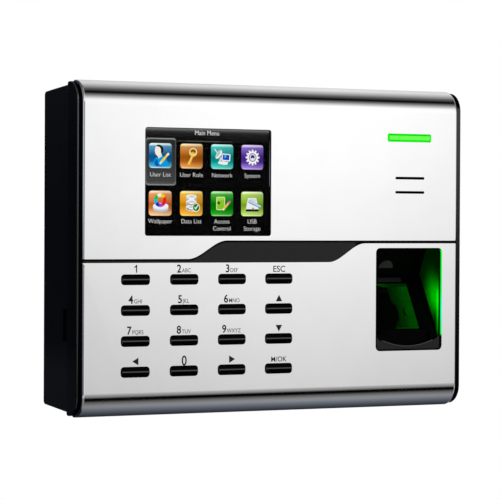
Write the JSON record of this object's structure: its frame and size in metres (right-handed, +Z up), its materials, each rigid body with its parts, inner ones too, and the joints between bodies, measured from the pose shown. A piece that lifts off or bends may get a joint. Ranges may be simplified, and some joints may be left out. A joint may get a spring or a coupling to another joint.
{
  "type": "fingerprint scanner terminal",
  "caption": "Flat wall terminal with a bent silver front, a colour display, a keypad of slim keys, a finger well with a lit glass, and a black housing on a steel wall bracket.",
  "frame": {"origin": "on the wall plane, at the middle of the wall bracket's back face", "axes": "+X to the right of someone facing the terminal, +Y into the wall, +Z up"},
  "size_m": [0.1804, 0.0409, 0.1349],
  "materials": {
    "silver_sheet": "fine satin silver, evenly grained",
    "black_case": "black moulded plastic, satin on the cheeks and finely textured on the housing",
    "grey_trim": "smooth dark grey",
    "key_black": "semi-gloss black",
    "window": "clear polished display window over a dark display",
    "liquid_crystal": "dark display glass",
    "light_guide": "translucent green light guide",
    "optical_glass": "polished optical block, lit green from below",
    "silicone": "grey silicone",
    "circuit_board": "green solder mask",
    "connector": "black moulded plastic",
    "plated_metal": "bright plated steel",
    "zinc_steel": "zinc-coated sheet steel",
    "cone_paper": "black paper cone",
    "ribbon": "amber film ribbon",
    "battery_wrap": "blue shrink wrap"
  },
  "bodies": {
    "bracket": {"wall_bracket": "zinc_steel"},
    "terminal": {"front_panel_upper": "silver_sheet", "front_panel_lower": "silver_sheet", "trim_band": "grey_trim", "front_frame": "black_case", "rear_housing": "black_case", "finger_well": "black_case", "sensor_case": "black_case", "display_window": "window", "display_panel": "liquid_crystal", "display_backlight": "plated_metal", "display_ribbon": "ribbon", "indicator_light_guide": "light_guide", "indicator_board": "circuit_board", "indicator_led": "light_guide", "speaker_basket": "plated_metal", "speaker_cone": "cone_paper", "speaker_magnet": "plated_metal", "key_mat": "silicone", "key_board": "circuit_board", "keypad_ribbon": "ribbon", "sensor_prism": "optical_glass", "sensor_light_board": "circuit_board", "sensor_lens": "connector", "sensor_camera_board": "circuit_board", "sensor_ribbon": "ribbon", "main_board": "circuit_board", "processor": "connector", "door_relay": "connector", "clock_battery": "plated_metal", "ethernet_socket": "plated_metal", "wire_terminal_block": "connector", "power_socket": "connector", "usb_socket": "plated_metal", "backup_battery": "battery_wrap", "tamper_switch": "connector", "tamper_spring": "plated_metal", "case_screw_1": "plated_metal", "case_screw_2": "plated_metal", "case_screw_3": "plated_metal", "case_screw_4": "plated_metal"},
    "security_screw": {"security_screw": "plated_metal"},
    "tamper_plunger": {"tamper_plunger": "light_guide"},
    "key_1": {"key_1": "key_black"},
    "key_2": {"key_2": "key_black"},
    "key_3": {"key_3": "key_black"},
    "key_escape": {"key_escape": "key_black"},
    "key_4": {"key_4": "key_black"},
    "key_5": {"key_5": "key_black"},
    "key_6": {"key_6": "key_black"},
    "key_up": {"key_up": "key_black"},
    "key_7": {"key_7": "key_black"},
    "key_8": {"key_8": "key_black"},
    "key_9": {"key_9": "key_black"},
    "key_down": {"key_down": "key_black"},
    "key_left": {"key_left": "key_black"},
    "key_0": {"key_0": "key_black"},
    "key_right": {"key_right": "key_black"},
    "key_ok": {"key_ok": "key_black"}
  },
  "joints": [
    {"name": "terminal_lift", "type": "slide", "parent": "bracket", "child": "terminal", "axis": [0, 0, 1], "range_m": [0, 0.008]},
    {"name": "security_screw_undo", "type": "slide", "parent": "bracket", "child": "security_screw", "axis": [0, 0, -1], "range_m": [0, 0.01]},
    {"name": "tamper_press", "type": "slide", "parent": "terminal", "child": "tamper_plunger", "axis": [0, -1, 0], "range_m": [0, 0.0015], "stiffness_N_per_m": 150, "springref_m": -0.001, "deforming": ["tamper_spring"]},
    {"name": "key_1_press", "type": "slide", "parent": "terminal", "child": "key_1", "axis": [0, 1, 0], "range_m": [0, 0.0008], "stiffness_N_per_m": 400, "springref_m": -0.001},
    {"name": "key_2_press", "type": "slide", "parent": "terminal", "child": "key_2", "axis": [0, 1, 0], "range_m": [0, 0.0008], "stiffness_N_per_m": 400, "springref_m": -0.001},
    {"name": "key_3_press", "type": "slide", "parent": "terminal", "child": "key_3", "axis": [0, 1, 0], "range_m": [0, 0.0008], "stiffness_N_per_m": 400, "springref_m": -0.001},
    {"name": "key_escape_press", "type": "slide", "parent": "terminal", "child": "key_escape", "axis": [0, 1, 0], "range_m": [0, 0.0008], "stiffness_N_per_m": 400, "springref_m": -0.001},
    {"name": "key_4_press", "type": "slide", "parent": "terminal", "child": "key_4", "axis": [0, 1, 0], "range_m": [0, 0.0008], "stiffness_N_per_m": 400, "springref_m": -0.001},
    {"name": "key_5_press", "type": "slide", "parent": "terminal", "child": "key_5", "axis": [0, 1, 0], "range_m": [0, 0.0008], "stiffness_N_per_m": 400, "springref_m": -0.001},
    {"name": "key_6_press", "type": "slide", "parent": "terminal", "child": "key_6", "axis": [0, 1, 0], "range_m": [0, 0.0008], "stiffness_N_per_m": 400, "springref_m": -0.001},
    {"name": "key_up_press", "type": "slide", "parent": "terminal", "child": "key_up", "axis": [0, 1, 0], "range_m": [0, 0.0008], "stiffness_N_per_m": 400, "springref_m": -0.001},
    {"name": "key_7_press", "type": "slide", "parent": "terminal", "child": "key_7", "axis": [0, 1, 0], "range_m": [0, 0.0008], "stiffness_N_per_m": 400, "springref_m": -0.001},
    {"name": "key_8_press", "type": "slide", "parent": "terminal", "child": "key_8", "axis": [0, 1, 0], "range_m": [0, 0.0008], "stiffness_N_per_m": 400, "springref_m": -0.001},
    {"name": "key_9_press", "type": "slide", "parent": "terminal", "child": "key_9", "axis": [0, 1, 0], "range_m": [0, 0.0008], "stiffness_N_per_m": 400, "springref_m": -0.001},
    {"name": "key_down_press", "type": "slide", "parent": "terminal", "child": "key_down", "axis": [0, 1, 0], "range_m": [0, 0.0008], "stiffness_N_per_m": 400, "springref_m": -0.001},
    {"name": "key_left_press", "type": "slide", "parent": "terminal", "child": "key_left", "axis": [0, 1, 0], "range_m": [0, 0.0008], "stiffness_N_per_m": 400, "springref_m": -0.001},
    {"name": "key_0_press", "type": "slide", "parent": "terminal", "child": "key_0", "axis": [0, 1, 0], "range_m": [0, 0.0008], "stiffness_N_per_m": 400, "springref_m": -0.001},
    {"name": "key_right_press", "type": "slide", "parent": "terminal", "child": "key_right", "axis": [0, 1, 0], "range_m": [0, 0.0008], "stiffness_N_per_m": 400, "springref_m": -0.001},
    {"name": "key_ok_press", "type": "slide", "parent": "terminal", "child": "key_ok", "axis": [0, 1, 0], "range_m": [0, 0.0008], "stiffness_N_per_m": 400, "springref_m": -0.001}
  ]
}
